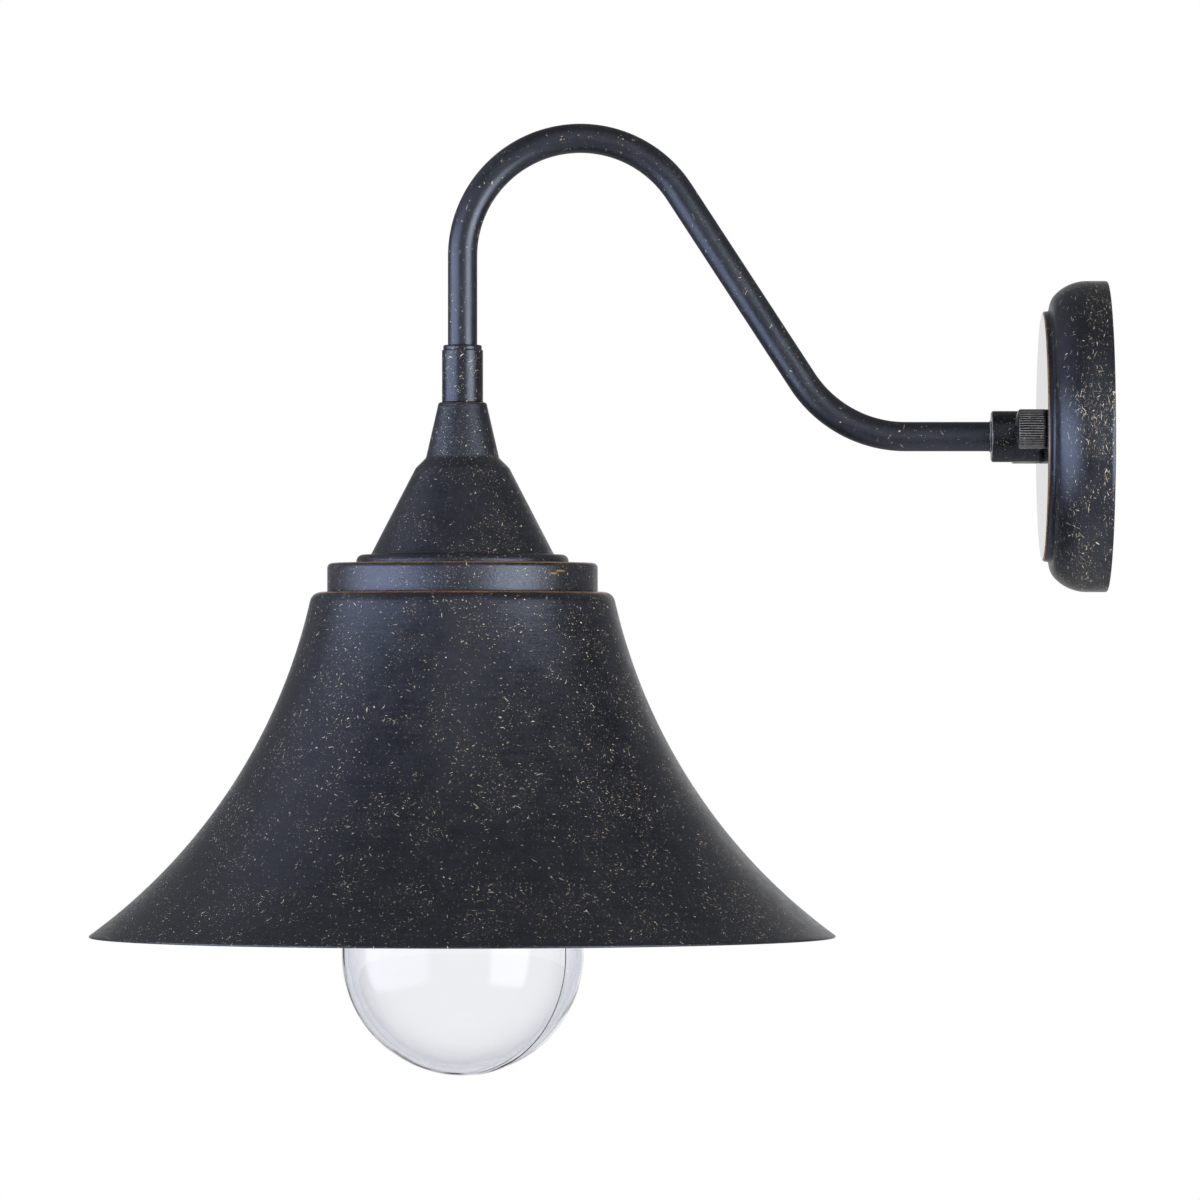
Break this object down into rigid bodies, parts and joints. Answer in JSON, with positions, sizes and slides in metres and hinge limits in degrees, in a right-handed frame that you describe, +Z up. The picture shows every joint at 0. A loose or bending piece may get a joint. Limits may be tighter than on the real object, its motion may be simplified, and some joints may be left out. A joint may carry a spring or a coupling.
{
  "type": "outdoor wall light",
  "caption": "Swan-neck outdoor wall light with a round plate, a bell shade and a screw-in clear glass jar.",
  "frame": {"origin": "centre of the back plate's rear rim, in the plane of the wall, on the axis of the arm's lower run", "axes": "+Z up, +Y into the wall, the arm reaches out along -Y, +X to the right for a viewer who faces the wall"},
  "size_m": [0.3048, 0.4154, 0.3885],
  "materials": {
    "bronze": "satin dark bronze with fine gold specks",
    "bronze_cast": "satin dark bronze over a casting",
    "zinc_steel": "zinc plated",
    "black_steel": "black oxide",
    "ground_green": "green dyed zinc",
    "copper": "bare drawn copper",
    "brass": "stamped brass",
    "rubber": "matte",
    "foam": "closed-cell foam",
    "porcelain": "glazed",
    "clear_glass": "clear, slightly wavy",
    "black_insulation": "satin",
    "white_insulation": "satin",
    "orange_plastic": "moulded"
  },
  "bodies": {
    "fixture": {"backplate": "bronze", "wall_gasket": "foam", "mounting_strap": "zinc_steel", "canopy_studs": "zinc_steel", "stud_lock_nuts": "zinc_steel", "ground_screw": "ground_green", "wall_nipple": "zinc_steel", "wall_lock_washer": "zinc_steel", "wall_nipple_nut": "zinc_steel", "wall_collar": "bronze", "collar_set_screw": "black_steel", "arm_tube": "bronze", "head_lock_ring": "bronze", "head_collar": "bronze", "head_nipple": "zinc_steel", "socket_cover": "bronze", "cover_nut": "zinc_steel", "shade_cap": "bronze", "shade": "bronze", "jar_holder": "bronze_cast", "holder_lock_washer": "zinc_steel", "holder_nut": "zinc_steel", "lampholder_body": "porcelain", "screw_shell": "brass", "shell_rivet": "brass", "contact_rivet": "brass", "live_terminal": "brass", "neutral_terminal": "brass", "live_lead": "black_insulation", "neutral_lead": "white_insulation", "live_connector": "orange_plastic", "neutral_connector": "orange_plastic", "ground_lead": "copper", "ground_connector": "orange_plastic"},
    "right_seal": {"nut_seal_right": "rubber"},
    "right_nut": {"cap_nut_right": "bronze"},
    "left_seal": {"nut_seal_left": "rubber"},
    "left_nut": {"cap_nut_left": "bronze"},
    "jar_seal": {"jar_gasket": "rubber"},
    "jar": {"glass_jar": "clear_glass"},
    "contact": {"contact_leaf": "brass"}
  },
  "joints": [
    {"name": "right_nut_travel", "type": "slide", "parent": "fixture", "child": "right_seal", "axis": [0, -1, 0], "range_m": [0, 0.00724]},
    {"name": "right_nut_turn", "type": "hinge", "parent": "right_seal", "child": "right_nut", "pos_m": [0.02992, -0.032, 0.00225], "axis": [0, -1, 0], "range_deg": [0, 3240]},
    {"name": "left_nut_travel", "type": "slide", "parent": "fixture", "child": "left_seal", "axis": [0, -1, 0], "range_m": [0, 0.00724]},
    {"name": "left_nut_turn", "type": "hinge", "parent": "left_seal", "child": "left_nut", "pos_m": [-0.02992, -0.032, -0.00225], "axis": [0, -1, 0], "range_deg": [0, 3240]},
    {"name": "jar_travel", "type": "slide", "parent": "fixture", "child": "jar_seal", "axis": [0, 0, -1], "range_m": [0, 0.0091]},
    {"name": "jar_turn", "type": "hinge", "parent": "jar_seal", "child": "jar", "pos_m": [0, -0.263, -0.08], "axis": [0, 0, -1], "range_deg": [0, 540]},
    {"name": "contact_press", "type": "hinge", "parent": "fixture", "child": "contact", "pos_m": [0.004, -0.263, -0.0929], "axis": [0, 1, 0], "range_deg": [0, 8], "stiffness_Nm_per_rad": 0.09}
  ],
  "couplings": [
    {"joint": "right_nut_travel", "follows": "right_nut_turn", "m_per_rad": 0.00012633},
    {"joint": "left_nut_travel", "follows": "left_nut_turn", "m_per_rad": 0.00012633},
    {"joint": "jar_travel", "follows": "jar_turn", "m_per_rad": 0.00095493}
  ]
}
